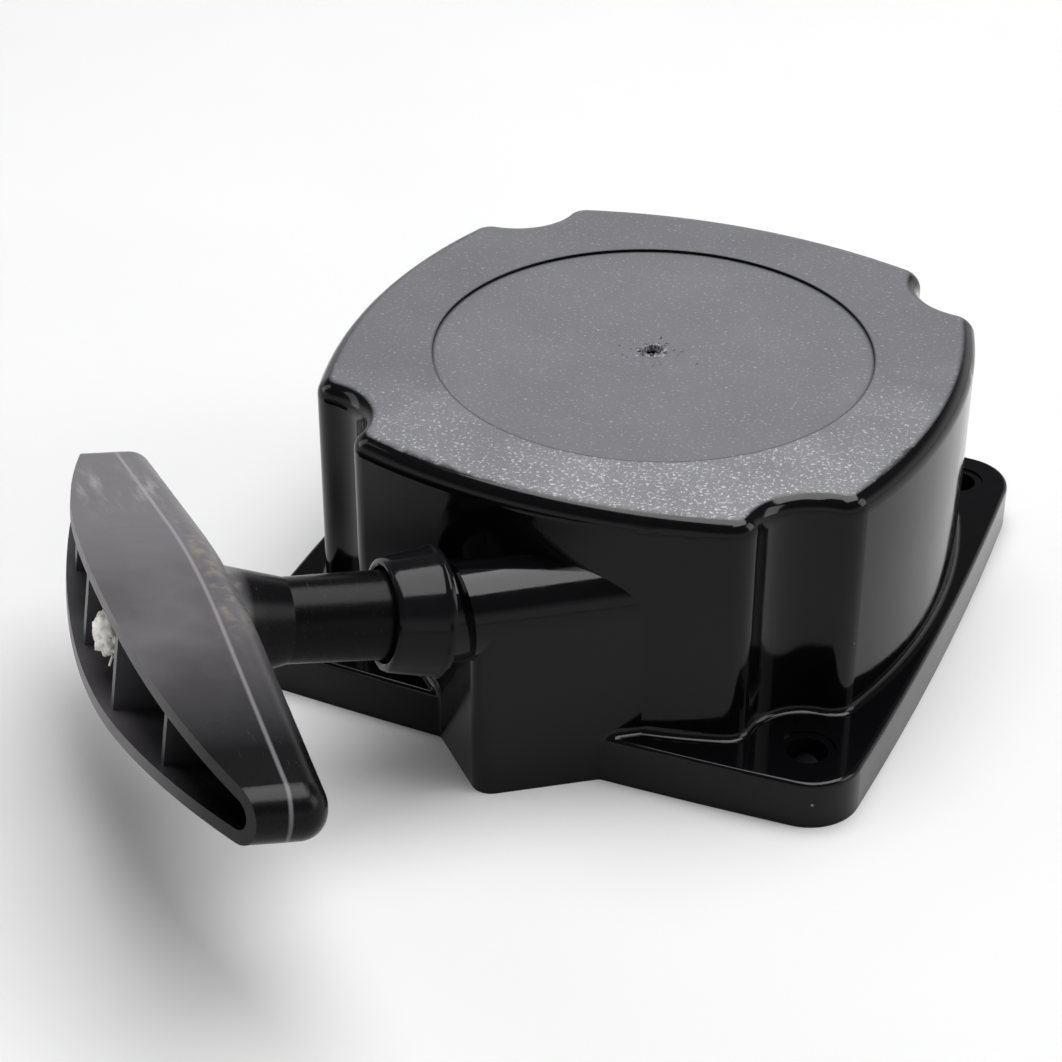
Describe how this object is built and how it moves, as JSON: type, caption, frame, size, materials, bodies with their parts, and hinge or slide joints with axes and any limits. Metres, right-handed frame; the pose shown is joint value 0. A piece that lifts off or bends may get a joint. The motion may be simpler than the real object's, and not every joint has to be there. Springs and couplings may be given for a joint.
{
  "type": "recoil starter",
  "caption": "Square-flanged recoil starter with a deep scalloped cup, an angled rope nozzle and a T-shaped pull grip on a rope wound on a sprung pulley.",
  "frame": {"origin": "on the pulley axis, in the plane of the flange's underside, at the centre of the screw pattern", "axes": "+Z along the pulley axis, out of the engine through the closed top; X and Y along the flange's sides; the nozzle and grip point towards -X and -Y"},
  "size_m": [0.1247, 0.1694, 0.0444],
  "materials": {
    "housing_plastic": "moulded black nylon, glossy walls and grained top",
    "guide_plastic": "polished black acetal",
    "grip_plastic": "satin black polypropylene",
    "rope_fibre": "braided white nylon cord",
    "pulley_plastic": "moulded natural nylon",
    "case_plastic": "moulded black polypropylene",
    "spring_steel": "blued spring steel strip",
    "plate_steel": "zinc-plated pressed steel",
    "pawl_steel": "sintered steel",
    "bearing_brass": "turned brass"
  },
  "bodies": {
    "housing": {"starter_housing": "housing_plastic", "rope_guide": "guide_plastic", "spring_case": "case_plastic", "spring_cover": "plate_steel", "cover_screws": "plate_steel", "recoil_spring": "spring_steel", "post_insert": "bearing_brass", "thrust_washer": "plate_steel", "spacer_sleeve": "plate_steel", "centre_screw": "plate_steel", "friction_spring": "spring_steel"},
    "pulley": {"rope_pulley": "pulley_plastic", "pulley_bush": "bearing_brass", "rope_coil": "rope_fibre", "pulley_knot": "rope_fibre", "pawl_pin_1": "plate_steel", "pawl_pin_2": "plate_steel", "pawl_spring_1": "spring_steel", "pawl_spring_2": "spring_steel"},
    "first_pawl": {"pawl_1": "pawl_steel"},
    "second_pawl": {"pawl_2": "pawl_steel"},
    "cam": {"cam_plate": "plate_steel"},
    "rope_end": {"rope_run": "rope_fibre", "grip_knot": "rope_fibre"},
    "grip": {"pull_grip": "grip_plastic", "grip_washer": "plate_steel"}
  },
  "joints": [
    {"name": "rope_pull", "type": "slide", "parent": "housing", "child": "rope_end", "axis": [-0.7168, -0.6779, 0.1633], "range_m": [0, 0.75], "stiffness_N_per_m": 15, "springref_m": -0.7, "deforming": ["rope_run"]},
    {"name": "grip_swivel", "type": "hinge", "parent": "rope_end", "child": "grip", "pos_m": [-0.01101, -0.05596, 0.0273], "axis": [-0.7168, -0.6779, 0.1633], "continuous": true},
    {"name": "pulley_spin", "type": "hinge", "parent": "housing", "child": "pulley", "pos_m": [0, 0, 0.0279], "axis": [0, 0, 1], "range_deg": [-1212, 0], "deforming": ["recoil_spring"]},
    {"name": "cam_drag", "type": "hinge", "parent": "pulley", "child": "cam", "pos_m": [0, 0, 0.0175], "axis": [0, 0, 1], "range_deg": [0, 30]},
    {"name": "first_pawl_swing", "type": "hinge", "parent": "pulley", "child": "first_pawl", "pos_m": [0.0155, 0, 0.0208], "axis": [0, 0, 1], "range_deg": [0, 30]},
    {"name": "second_pawl_swing", "type": "hinge", "parent": "pulley", "child": "second_pawl", "pos_m": [-0.0155, 0, 0.0208], "axis": [0, 0, 1], "range_deg": [0, 30]}
  ],
  "couplings": [
    {"joint": "pulley_spin", "follows": "rope_pull", "rad_per_m": -28.169},
    {"joint": "first_pawl_swing", "follows": "cam_drag", "ratio": 1},
    {"joint": "second_pawl_swing", "follows": "cam_drag", "ratio": 1}
  ]
}
